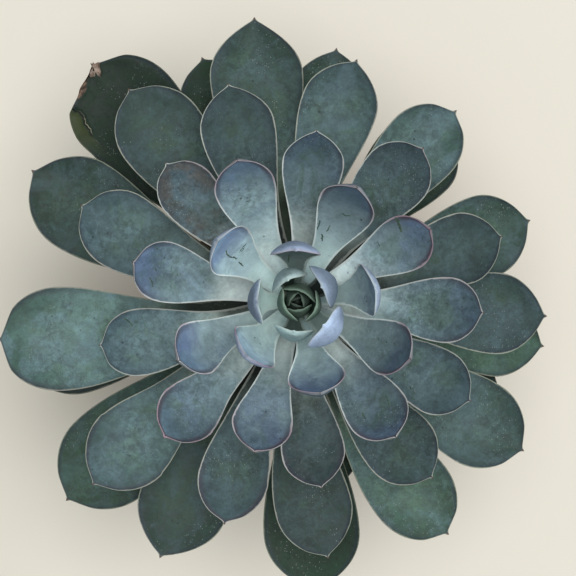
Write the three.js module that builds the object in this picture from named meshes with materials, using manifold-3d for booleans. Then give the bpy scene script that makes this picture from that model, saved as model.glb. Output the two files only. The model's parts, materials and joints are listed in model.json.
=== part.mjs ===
// Potted echeveria: one wide rosette of grey-blue leaves on a short stem, in a plain clay pot.
// Millimetres, +Z up. The origin is the middle of the pot's resting face; the stem stands on Z.

import * as THREE from 'three';
import { mergeVertices } from 'three/addons/utils/BufferGeometryUtils.js';
import Module from 'manifold-3d';

const wasm = await Module();
wasm.setup();

// Pot, soil and stem
const potHeight = 70;
const potFootRadius = 27;
const potNeckRadius = 35.5;
const potRimRadius = 40;
const potRimDrop = 18;
const potWall = 4.5;
const potFloor = 6;
const potEdge = 1;
const potSides = 48;
const drainHoleRadius = 4;
const drainHoleReach = 15;
const drainHoleCount = 3;
const soilTop = 61;
const soilCrown = 1.2;
const fitGap = 0.3;
const stemRadius = 7;
const stemDepth = 28;
const stemFootRadius = 5.5;
const stemNeckHeight = soilTop - 6;

// Rosette: leaves are numbered from the youngest, at the middle, to the oldest, at the bottom
const oldestLeaf = 54;
const oldestRootHeight = 84.5;
const rootSpacing = 0.66;
const apexRadius = 2.6;
const stemTop = oldestRootHeight + rootSpacing * oldestLeaf;
// Leaf blade: shares of its length, and sizes across it
const widestAlong = 0.78;
const bodyEndAlong = 0.985;
const rootWidthShare = 0.33;
const rootPinch = 0.4;
const rootPinchLength = 0.06;
const flarePower = 1.65;
const shoulderPower = 2.2;
const mucroHalfWidth = 0.5;
const cupPower = 1.5;
const backPower = 0.7;
const thickestForWidth = 1.2;
const leastThickness = 1.2;
const thicknessShare = 0.105;
const witheredThickness = 2.4;
// How a leaf stands, by its number: pitch in degrees, the rest as shares of length or width
const crownPitch = 82;
const halfPitchLeaf = 14;
const pitchFall = 0.2;
const outerSag = 0.09;
const innerSag = 0.45;
const outerCup = 0.06;
const innerCup = 0.13;
const innerFade = 7;
const rollDegrees = 5;
const heartRise = 17;
const heartRiseStep = 1.8;
const heartSags = [0.36, 0.36, 0.44, 0.36, 0.5, 0.36, 0.25, 0.34];
// Laying a leaf lower to make room
const layingStep = 0.4;
const layingSteps = 60;
const ringSides = 8;
// Stations along a leaf from tip to root; the first and the last are the closing points
const stations = [1, 0.975, 0.95, 0.91, 0.86, 0.78, 0.67, 0.54, 0.4, 0.25, 0.1, 0, 0];

// One row a leaf, youngest first: degrees from +X towards +Y, reach of the tip, greatest width,
// bend to the left as a share of its length, taper of the tip from 0.5, blunt, to 1, pointed
const leafSizes = [
  [114, 7, 12.5, 0, 0.6], [263, 9, 13, 0, 0.55], [31, 8.5, 15, 0, 0.6], [180, 12.1, 14.5, 0, 0.55],
  [318, 10.6, 16.5, 0, 0.55], [92, 15.7, 16, 0, 0.55], [226.5, 23, 17.5, 0, 0.55],
  [9.5, 24.3, 17.2, 0, 0.55], [142.8, 31, 17.6, 0, 0.5], [284, 29.5, 18.5, 0, 0.5],
  [62.5, 40, 18.5, 0, 0.65], [206.5, 41.5, 18, -0.045, 0.55], [333, 40, 18, 0, 0.55],
  [113, 48.5, 19.6, 0.06, 0.55], [254, 49.5, 19.5, 0, 0.6], [28.5, 48.5, 18.5, 0, 0.6],
  [166.5, 54, 19.6, 0.035, 0.5], [306, 54, 20.5, 0, 0.6], [83.5, 55.5, 20, 0, 0.85],
  [225.5, 61.5, 20.5, 0, 0.6], [356.5, 60.5, 21.5, 0, 0.65], [133.5, 62, 19.5, 0.07, 0.6],
  [277.5, 61.5, 21, -0.055, 0.75], [50.5, 65, 23, 0.045, 0.65], [192.5, 66.5, 22.3, 0.09, 0.5],
  [330, 66, 22, 0, 0.65], [107.5, 75, 25, 0.07, 0.8], [252, 77.5, 23.6, -0.08, 0.65],
  [17.5, 71.5, 24, 0, 0.75], [156, 78.5, 26.6, 0.095, 0.6], [307.5, 74.5, 25, -0.09, 0.7],
  [76, 83, 26, 0.075, 0.8], [222, 92, 28.7, -0.045, 0.7], [356.5, 84, 27.5, 0, 0.8],
  [128.5, 91, 30, 0.025, 0.65], [277, 87.5, 26.2, -0.11, 0.75], [50, 84, 26.5, 0.045, 0.6],
  [187.3, 102, 35.5, 0.085, 0.5], [326.5, 92.5, 30, -0.03, 0.65], [98.5, 97.5, 32, 0.07, 0.95],
  [242, 99.5, 31, -0.05, 0.85], [19, 84.5, 28.5, 0, 0.75], [153.8, 101.3, 33.5, 0.1, 0.72],
  [303, 96, 29, -0.09, 0.6], [81, 88, 27.5, 0, 0.8], [221, 105.5, 34.5, -0.04, 0.68],
  [349.5, 87, 27.5, 0, 0.8], [131, 109, 38, 0.035, 0.5], [273.8, 101, 33.5, 0, 0.7],
  [48.5, 80.5, 30, 0.05, 0.7], [194.5, 98, 27, -0.02, 0.7], [332, 80, 25, 0, 0.7],
  [111.3, 91.5, 29, 0, 0.7], [285.5, 66.5, 13, 0, 0.7],
];
// Leaflets of the bud, outermost first: degrees, reach of the tip, greatest width, rise above root
const budSizes = [
  [340, 5.8, 10.5, 17], [204, 3.9, 11.5, 16], [67, 3.2, 11.5, 15], [277, 2.5, 9, 13], [140, 1.6, 6, 11],
];
const budRootRadius = 1.1;
const budRootHeight = stemTop + fitGap;
const budCoreRadius = 2.4;
const budCoreHeight = 5;
const budLeaflet = { taper: 0.6, sag: 0.3, cupShare: 0.2, thickness: 1.6 };

const clay = new THREE.MeshStandardMaterial({ color: 0xa8674a, roughness: 0.9, metalness: 0 });
const earth = new THREE.MeshStandardMaterial({ color: 0x3a2d24, roughness: 1, metalness: 0 });
const bark = new THREE.MeshStandardMaterial({ color: 0x77705a, roughness: 0.85, metalness: 0 });
const oldLeaf = new THREE.Color(0x40594c);
const midLeaf = new THREE.Color(0x6f8b96);
const youngLeaf = new THREE.Color(0x9fb0c8);

const rad = THREE.MathUtils.degToRad;
const smooth = (x) => THREE.MathUtils.smoothstep(x, 0, 1);

// A boolean solid of a geometry, and the geometry of a boolean solid
function toSolid(geometry) {
  const bare = geometry.clone();
  bare.deleteAttribute('normal');
  bare.deleteAttribute('uv');
  const merged = mergeVertices(bare);
  const vertProperties = Float32Array.from(merged.attributes.position.array);
  const triVerts = Uint32Array.from(merged.index.array);
  return new wasm.Manifold(new wasm.Mesh({ numProp: 3, vertProperties, triVerts }));
}

function toGeometry(solid) {
  const mesh = solid.getMesh();
  const geometry = new THREE.BufferGeometry();
  geometry.setAttribute('position', new THREE.Float32BufferAttribute(mesh.vertProperties, 3));
  geometry.setIndex(Array.from(mesh.triVerts));
  geometry.computeVertexNormals();
  return geometry;
}

// A turned solid about Z from [radius, height] pairs, bottom of the axis first
function turned(profile, sides) {
  const points = profile.map(([radius, height]) => new THREE.Vector2(radius, height));
  return new THREE.LatheGeometry(points, sides).rotateX(Math.PI / 2);
}

// Leaf outline, 0 to 1: a narrow base, widest past the middle, then full shoulders to the tip
function outlineAt(u, taper) {
  if (u < widestAlong) {
    const opening = rootWidthShare + (1 - rootWidthShare) * smooth(u / widestAlong) ** flarePower;
    return opening * (1 - rootPinch * Math.exp(-u / rootPinchLength));
  }
  const past = (u - widestAlong) / (bodyEndAlong - widestAlong);
  return Math.max(0, 1 - past ** shoulderPower) ** taper;
}

// Leaf thickness over its greatest, with u from root to tip
const thicknessAt = (u) => 0.5 + 0.5 * Math.sin(Math.PI * u);

// A leaf: the upper face is cupped, the back is full, and the blade ends in a short hard point.
// Spare is an extra skin all round, used to test for room.
function leafGeometry(shape, spare = 0) {
  const { angle, root, tip, width, taper, sag, cup, thickness, roll, sway } = shape;
  const out = new THREE.Vector3(Math.cos(angle), Math.sin(angle), 0);
  const left = new THREE.Vector3(-Math.sin(angle), Math.cos(angle), 0);
  const chord = tip.clone().sub(root);
  const below = left.clone().cross(chord);
  const middle = root.clone().addScaledVector(chord, 0.5);
  middle.addScaledVector(below, sag).addScaledVector(left, sway * chord.length());
  const midrib = new THREE.QuadraticBezierCurve3(root, middle, tip);

  const geometry = new THREE.SphereGeometry(1, ringSides, stations.length - 1);
  const position = geometry.attributes.position;
  for (let i = 0; i < position.count; i++) {
    const row = Math.round((1 - geometry.attributes.uv.getY(i)) * (stations.length - 1));
    const around = -2 * Math.PI * geometry.attributes.uv.getX(i);
    const u = stations[row];
    const point = midrib.getPoint(u);
    const along = midrib.getTangent(u);
    const side = left.clone().addScaledVector(along, -left.dot(along)).normalize();
    side.applyAxisAngle(along, roll * u);
    const up = along.clone().cross(side);
    const isPole = row === 0 || row === stations.length - 1;
    if (!isPole) {
      const mucro = mucroHalfWidth * Math.min(1, (1 - u) / (1 - bodyEndAlong));
      const outline = outlineAt(u, taper);
      const half = Math.max((width / 2) * outline, mucro);
      const across = Math.cos(around);
      const depth = Math.min(thickness * thicknessAt(u), thickestForWidth * half);
      const lift = cup * outline ** cupPower * across ** 2;
      const back = Math.sin(around) > 1e-6 ? depth * (1 - across ** 2) ** backPower : 0;
      const topSkin = Math.sin(around) < -1e-6 ? spare : 0;
      point.addScaledVector(side, across * (half + spare));
      point.addScaledVector(up, lift - back - (back > 0 ? spare : 0) + topSkin);
    }
    point.addScaledVector(out, row === 0 ? spare : 0);
    position.setXYZ(i, point.x, point.y, point.z);
  }
  geometry.computeVertexNormals();
  return geometry;
}

const stemRadiusAt = (rank) => apexRadius + (stemRadius - apexRadius) * (1 - Math.exp(-rank / 9));
const rootHeightAt = (rank) => oldestRootHeight + rootSpacing * (oldestLeaf - rank);

// Everything about leaf number rank that its size in the table leaves open
function leafShape(rank, drop) {
  const [degrees, reach, width, sway, taper] = leafSizes[rank - 1];
  const angle = rad(degrees);
  const youth = Math.exp(-rank / innerFade);
  const thickness = rank === oldestLeaf ? witheredThickness : leastThickness + thicknessShare * width;
  const pitch = rad(crownPitch / (1 + (rank / halfPitchLeaf) ** 2) - pitchFall * rank);
  const inHeart = rank <= heartSags.length;
  const sag = inHeart ? heartSags[rank - 1] : outerSag + innerSag * youth;
  const rootLean = Math.max(0, -Math.sin(pitch - Math.atan(2 * sag)));
  const rootRadius = stemRadiusAt(rank) + 1.2 * fitGap + thicknessAt(0) * thickness * rootLean;
  const rootHeight = rootHeightAt(rank);
  const rise = inHeart ? heartRise + heartRiseStep * rank : (reach - rootRadius) * Math.tan(pitch);
  const place = (radius, z) => new THREE.Vector3(radius * Math.cos(angle), radius * Math.sin(angle), z);
  return {
    angle,
    root: place(rootRadius, rootHeight),
    tip: place(reach, rootHeight + rise - drop),
    width,
    taper,
    sag,
    cup: width * (outerCup + innerCup * youth),
    thickness,
    roll: rad(rollDegrees) * Math.sin(1.7 * rank),
    sway,
  };
}

// The leaves, youngest first. Each older leaf is laid lower until it has room under the younger.
function growLeaves() {
  const grown = [];
  for (let rank = 1; rank <= oldestLeaf; rank++) {
    let drop = 0;
    let geometry = leafGeometry(leafShape(rank, drop));
    let testSolid = toSolid(leafGeometry(leafShape(rank, drop), fitGap));
    for (let step = 0; step < layingSteps; step++) {
      if (grown.every((other) => testSolid.intersect(other.solid).isEmpty())) break;
      drop += layingStep;
      geometry = leafGeometry(leafShape(rank, drop));
      testSolid = toSolid(leafGeometry(leafShape(rank, drop), fitGap));
    }
    grown.push({ rank, geometry, solid: toSolid(geometry) });
  }
  return grown;
}

function leafMaterial(rank) {
  const age = (rank - 1) / (oldestLeaf - 1);
  const color = youngLeaf.clone().lerp(midLeaf, Math.min(1, 2.5 * age));
  color.lerp(oldLeaf, smooth((age - 0.4) / 0.6));
  return new THREE.MeshStandardMaterial({ color, roughness: 0.7, metalness: 0 });
}

// The bud: the last leaflets, grown together at the foot round the growing point
function budGeometry() {
  const core = new THREE.SphereGeometry(1, 12, 8);
  core.rotateX(Math.PI / 2).scale(budCoreRadius, budCoreRadius, budCoreHeight);
  core.translate(0, 0, budRootHeight + budCoreHeight);
  let solid = toSolid(core);
  for (const [degrees, reach, width, rise] of budSizes) {
    const angle = rad(degrees);
    const out = new THREE.Vector3(Math.cos(angle), Math.sin(angle), 0);
    const root = out.clone().multiplyScalar(budRootRadius).setZ(budRootHeight + 1);
    const tip = out.clone().multiplyScalar(reach).setZ(root.z + rise);
    const { taper, sag, cupShare, thickness } = budLeaflet;
    const cup = cupShare * width;
    const shape = { angle, root, tip, width, taper, sag, cup, thickness, roll: 0, sway: 0 };
    solid = solid.add(toSolid(leafGeometry(shape)));
  }
  return toGeometry(solid);
}

// The stem: thick and straight, narrowing to the growing point under the bud
function stemGeometry() {
  const foot = soilTop - stemDepth + fitGap;
  const profile = [[0, foot], [stemFootRadius, foot], [stemRadius, stemNeckHeight]];
  for (const rank of [oldestLeaf + 6, 40, 30, 20, 14, 10, 6, 3, 1]) {
    profile.push([stemRadiusAt(rank), rootHeightAt(rank)]);
  }
  profile.push([apexRadius - fitGap, stemTop], [0, stemTop]);
  return turned(profile, 20);
}

// Radius of the pot's inner wall, which runs parallel to the outside up to the rim band
const potShoulder = potHeight - potRimDrop;
const potTaper = (potNeckRadius - potFootRadius) / potShoulder;
const innerWallAt = (height) => potFootRadius - potWall + potTaper * height;

// The soil: fills the pot to just under the rim, mounded a little, with the stem's plain hole
function soilGeometry() {
  const floor = potFloor + fitGap;
  const hole = stemRadius + fitGap;
  const holeFloor = soilTop - stemDepth;
  return turned([
    [0, floor], [innerWallAt(floor) - fitGap, floor], [innerWallAt(soilTop) - fitGap, soilTop],
    [0.6 * innerWallAt(soilTop), soilTop + 0.7 * soilCrown], [hole, soilTop + soilCrown],
    [hole, stemNeckHeight], [stemFootRadius + fitGap, holeFloor], [0, holeFloor],
  ], 32);
}

// The pot: a tapered clay pot with a plain rim band and three drain holes round a solid middle
function potGeometry() {
  const innerRim = innerWallAt(potHeight);
  const body = turned([
    [0, 0], [potFootRadius - potEdge, 0], [potFootRadius, potEdge], [potNeckRadius, potShoulder],
    [potRimRadius - 2 * potEdge, potShoulder], [potRimRadius - 0.6 * potEdge, potShoulder + potEdge],
    [potRimRadius, potHeight - 1.5 * potEdge], [potRimRadius - potEdge, potHeight],
    [innerRim + potEdge, potHeight], [innerRim, potHeight - potEdge],
    [innerWallAt(potFloor), potFloor], [0, potFloor],
  ], potSides);
  let solid = toSolid(body);
  for (let i = 0; i < drainHoleCount; i++) {
    const turn = (i / drainHoleCount) * 2 * Math.PI + Math.PI / 2;
    const drill = new THREE.CylinderGeometry(drainHoleRadius, drainHoleRadius, 4 * potFloor, 16);
    drill.rotateX(Math.PI / 2);
    drill.translate(drainHoleReach * Math.cos(turn), drainHoleReach * Math.sin(turn), 0);
    solid = solid.subtract(toSolid(drill));
  }
  return toGeometry(solid);
}

const group = new THREE.Group();

function addPiece(name, geometry, material) {
  const mesh = new THREE.Mesh(geometry, material);
  mesh.name = name;
  group.add(mesh);
}

addPiece('pot', potGeometry(), clay);
addPiece('soil', soilGeometry(), earth);
addPiece('stem', stemGeometry(), bark);
addPiece('bud', budGeometry(), leafMaterial(1));
for (const { rank, geometry } of growLeaves()) {
  addPiece(`leaf_${String(rank).padStart(2, '0')}`, geometry, leafMaterial(rank));
}

export default group;
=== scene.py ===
import json
import math
import random

import bmesh
import bpy
import numpy as np
from mathutils import Matrix, Vector


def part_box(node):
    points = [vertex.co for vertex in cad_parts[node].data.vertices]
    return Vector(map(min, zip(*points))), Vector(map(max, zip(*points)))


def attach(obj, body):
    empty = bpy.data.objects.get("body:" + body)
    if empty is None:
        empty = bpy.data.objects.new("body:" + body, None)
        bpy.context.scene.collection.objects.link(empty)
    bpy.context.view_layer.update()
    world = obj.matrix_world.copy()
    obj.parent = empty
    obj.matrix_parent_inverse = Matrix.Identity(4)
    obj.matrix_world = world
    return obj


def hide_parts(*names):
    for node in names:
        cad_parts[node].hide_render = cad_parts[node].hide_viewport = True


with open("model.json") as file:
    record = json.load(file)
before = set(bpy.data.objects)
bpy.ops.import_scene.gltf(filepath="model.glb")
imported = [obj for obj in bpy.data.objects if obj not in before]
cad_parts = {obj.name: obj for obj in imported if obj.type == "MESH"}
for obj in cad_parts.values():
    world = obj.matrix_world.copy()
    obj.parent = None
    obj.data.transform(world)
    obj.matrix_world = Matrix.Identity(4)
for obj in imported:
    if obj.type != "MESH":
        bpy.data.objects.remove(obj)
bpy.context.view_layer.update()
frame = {"nodes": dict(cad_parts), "record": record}
nodes = frame["nodes"]
mm = 0.001
print("frame loaded:", len(nodes), "pieces")

# Leaf form. Lengths are in mm, shares are of the leaf's own length or width, and a leaf's
# number counts from the youngest. Root, tip and width of each leaf come from the frame.
leafForm = {
    "steps": (44, 66),       # around and along
    "tornSteps": (88, 132),
    "tipCrowding": 1.6,      # rows lie closer towards the tip
    "widestAlong": 0.78,
    "waistAlong": 0.54,
    "waistLength": 0.16,
    "pointLength": 0.38,     # of the hard point, over the width of the leaf
    "longestPoint": 0.035,   # over its length
    "cusp": 0.75,            # how much sharper a blunt leaf gets just before its point
    "cuspFrom": 0.8,         # of the way from the widest place to the point
    "cuspBelow": 0.9,        # a leaf with this taper or more has none
    "rootWidthShare": 0.33,
    "rootPinch": 0.4,
    "rootPinchLength": 0.06,
    "flarePower": 1.65,
    "shoulderPower": 2.2,
    "mucroHalf": 0.75,
    "leastThickness": 1.2,
    "thicknessShare": 0.105,
    "witheredThickness": 2.4,
    "outerSag": 0.09,
    "innerSag": 0.45,
    "outerCup": 0.06,
    "innerCup": 0.13,
    "innerFade": 7,
    "heartSags": (0.36, 0.36, 0.44, 0.36, 0.5, 0.36, 0.25, 0.34),    # these turn inwards at the top
    "rollDegrees": 5,
    "lipHeight": 0.2,        # the horny rim stands a little proud
    "lipWidth": 0.4,
    "grooveDepth": 0.14,
    "grooveAt": 1.5,
    "grooveWidth": 0.8,
    "dimple": 0.22,          # soft unevenness of the blade
    "edgeWave": 0.3,
    "waveTurn": 11,          # radians of the wave over the length
    "tipFade": 0.05,         # the relief fades out over these shares
    "rootFade": 0.1,
}
oldestLeaf = 54
oldestRoot = 84.5            # height of the oldest leaf's root
rootSpacing = 0.66           # each younger leaf's root is higher by this
# The left margin of one old leaf is split lengthways, and bitten away by the tip
tornForm = {
    "leaf": 48,
    "slitFrom": 0.81,
    "slitTo": 0.925,
    "slitTurn": 0.885,       # from here the split runs out to the margin
    "slitAcross": 0.77,
    "slitDepth": 1.3,
    "slitWidth": 0.5,
    "flapRise": 0.9,
    "flapSpread": 1.0,
    "biteAt": 0.955,
    "biteLength": 0.028,
    "biteDepth": 4.2,
    "witheredFrom": 0.965,
    "ragTurn": 150,          # radians of its ragged edge over the length
}
# Brightness of each leaf's upper face against others of its age: partly more or less of the pale bloom,
# partly painted shade and painted light, as on the heart leaves whose faces stand in shade
leafToneAndShade = {
    1: 0.25, 2: 0.4, 3: 0.12, 4: 1.35, 5: 0.7, 6: 0.48, 7: 1.05, 8: 0.75, 9: 1.14, 10: 0.77, 11: 0.66,
    12: 1.02, 13: 0.64, 14: 1.12, 15: 0.91, 16: 1.22, 17: 1.38, 18: 0.81, 19: 0.86, 20: 1.2, 21: 1.06,
    23: 0.66, 24: 0.77, 25: 1.54, 27: 0.63, 28: 0.87, 29: 0.75, 30: 1.18, 31: 0.72, 32: 1.04, 33: 1.32,
    34: 0.83, 35: 0.74, 36: 0.55, 37: 1.44, 38: 1.78, 39: 1.02, 40: 0.84, 41: 0.68, 42: 1.14, 43: 0.85,
    44: 1.46, 46: 1.3, 47: 1.78, 48: 0.27, 49: 0.47, 50: 0.52,
}
# Painted light and painted shade towards a leaf's root: how much brighter than that a leaf is there,
# where it isn't like its neighbours
footTone = {
    11: 1.45, 12: 0.9, 15: 0.85, 16: 1.35, 17: 0.78, 18: 1.1, 19: 0.9, 21: 1.5, 23: 1.6, 28: 0.5,
    33: 0.75, 34: 1.2, 38: 0.75, 40: 2.2, 41: 0.8,
}
# The same for the backs that show in the heart: painted light and painted shade
backLightAndShade = {1: 1.25, 2: 1.1, 3: 0.72, 4: 0.53, 5: 1.16, 6: 0.74, 7: 0.7, 8: 0.8}
# Leaves that have turned a little brown, and how much
leafBrown = {16: 0.2, 22: 0.8, 23: 0.35, 51: 0.2}
# Leaves whose margin is flushed pink round the tip, and how much
leafBlush = {
    6: 0.8, 7: 1, 9: 0.25, 10: 0.8, 11: 0.7, 12: 0.7, 13: 0.8, 14: 0.7, 15: 0.8, 16: 0.9, 17: 0.3,
    18: 0.5, 20: 0.9, 21: 0.35, 23: 0.4, 28: 0.5, 33: 0.3, 38: 0.3,
}
# Leaves that are waisted below their blade, and how much
leafWaist = {12: 0.1, 15: 0.08, 20: 0.18, 28: 0.08, 33: 0.18, 41: 0.08}
# Bend of the midrib to the left as a share of length, for the leaves that aren't straight
leafBend = {
    12: -0.045, 14: 0.06, 17: 0.035, 22: 0.07, 23: -0.055, 24: 0.045, 25: 0.09, 27: 0.07, 28: -0.08,
    30: 0.095, 31: -0.09, 32: 0.075, 33: -0.045, 35: 0.025, 36: -0.11, 37: 0.045, 38: 0.085, 39: -0.03,
    40: 0.07, 41: -0.05, 43: 0.1, 44: -0.09, 46: -0.04, 48: 0.035, 50: 0.05, 51: -0.02,
}
# Taper of the tip, from 0.5, blunt, to 1, pointed, and the leaves that have it. The rest have plainTaper.
plainTaper = 0.7
tapers = {
    0.5: (9, 10, 17, 25, 38, 48),
    0.55: (2, 4, 5, 6, 7, 8, 12, 13, 14),
    0.6: (1, 3, 15, 16, 18, 20, 22, 30, 37, 44),
    0.65: (11, 21, 24, 26, 28, 35, 39),
    0.68: (46,),
    0.72: (43,),
    0.75: (23, 29, 36, 42),
    0.8: (27, 32, 34, 45, 47),
    0.85: (19, 41),
    0.95: (40,),
}
leafTaper = {rank: taper for taper, ranks in tapers.items() for rank in ranks}


def smoothStep(x):
    x = np.clip(x, 0, 1)
    return x * x * (3 - 2 * x)


# A finished bmesh as a mesh
def meshFrom(bm, name, smooth=False):
    mesh = bpy.data.meshes.new(name)
    bm.to_mesh(mesh)
    bm.free()
    if smooth:
        mesh.shade_smooth()
    return mesh


def newObject(name, data):
    made = bpy.data.objects.new(name, data)
    bpy.context.scene.collection.objects.link(made)
    return made


def outlineAt(u, taper, endOfBody, waist):
    f = leafForm
    flare = smoothStep(u / f["widestAlong"]) ** f["flarePower"]
    opening = f["rootWidthShare"] + (1 - f["rootWidthShare"]) * flare
    pinch = 1 - f["rootPinch"] * np.exp(-u / f["rootPinchLength"])
    narrowing = 1 - waist * np.exp(-((u - f["waistAlong"]) / f["waistLength"]) ** 2)
    past = np.clip((u - f["widestAlong"]) / (endOfBody - f["widestAlong"]), 0, 1)
    nearPoint = smoothStep((past - f["cuspFrom"]) / (1 - f["cuspFrom"]))
    cusp = f["cusp"] * max(f["cuspBelow"] - taper, 0) * nearPoint
    upper = (1 - past ** f["shoulderPower"]) ** (taper + cusp)
    return np.where(u < f["widestAlong"], opening * pinch * narrowing, upper)


def thicknessAt(u):
    return 0.5 + 0.5 * np.sin(np.pi * u)


def leafName(rank):
    return f"leaf_{rank:02d}"


def leftOf(angle):
    return np.array([-math.sin(angle), math.cos(angle), 0])


# Root, tip and width of a leaf, in mm, from its node
def leafPlace(rank):
    mesh = nodes[leafName(rank)].data
    co = np.empty(len(mesh.vertices) * 3)
    mesh.vertices.foreach_get("co", co)
    co, meeting = np.unique(np.round(co.reshape(-1, 3) / mm, 4), axis=0, return_counts=True)
    fromStem = np.linalg.norm(co - [0, 0, oldestRoot + rootSpacing * (oldestLeaf - rank)], axis=1)
    fromRoot = np.linalg.norm(co - co[np.argmin(fromStem)], axis=1)
    tip = co[np.argmax(meeting * (fromRoot > 0.7 * fromRoot.max()))]    # most triangles meet there
    angle = math.atan2(tip[1], tip[0])
    across = co @ leftOf(angle)
    inPlane = np.flatnonzero(np.abs(across) < 0.02)
    rootEnd = inPlane[np.argsort(fromStem[inPlane])[:2]]      # its top and its bottom
    root = co[rootEnd[np.argmax(co[rootEnd, 2])]]
    return {"root": root, "tip": tip, "angle": angle, "width": float(across.max() - across.min())}


# How leaf number rank stands, by the same rules as its node
def leafHabit(rank, width):
    f = leafForm
    youth = math.exp(-rank / f["innerFade"])
    thick = f["leastThickness"] + f["thicknessShare"] * width
    inHeart = rank <= len(f["heartSags"])
    return {
        "sag": f["heartSags"][rank - 1] if inHeart else f["outerSag"] + f["innerSag"] * youth,
        "cup": width * (f["outerCup"] + f["innerCup"] * youth),
        "thickness": f["witheredThickness"] if rank == oldestLeaf else thick,
        "roll": math.radians(f["rollDegrees"]) * math.sin(1.7 * rank),
        "bend": leafBend.get(rank, 0),
        "taper": leafTaper.get(rank, plainTaper),
        "torn": rank == tornForm["leaf"],
        "bodyEnd": 1 - min(f["pointLength"] / width, f["longestPoint"]),
        "waist": leafWaist.get(rank, 0),
        "toneAndShade": leafToneAndShade.get(rank, 1),
        "footTone": footTone.get(rank, 1),
        "backLightAndShade": backLightAndShade.get(rank, 1),
        "brown": leafBrown.get(rank, 0),
        "blush": leafBlush.get(rank, 0),
    }


# A round blank whose rows become the leaf's stations, made once and copied for each leaf
def leafBlank(steps):
    around, along = steps
    bm = bmesh.new()
    bmesh.ops.create_uvsphere(bm, u_segments=around, v_segments=along, radius=1)
    bmesh.ops.reverse_faces(bm, faces=bm.faces)      # its rows run from the tip, so it is inside out
    mesh = meshFrom(bm, "leafBlank")
    co = np.empty(len(mesh.vertices) * 3)
    mesh.vertices.foreach_get("co", co)
    co = co.reshape(-1, 3)
    row = np.round(np.arccos(np.clip(co[:, 2], -1, 1)) / np.pi * along) / (along - 1)
    turn = np.arctan2(co[:, 1], co[:, 0])
    return mesh, row, turn


def unit(v):
    return v / np.linalg.norm(v, axis=-1, keepdims=True)


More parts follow.
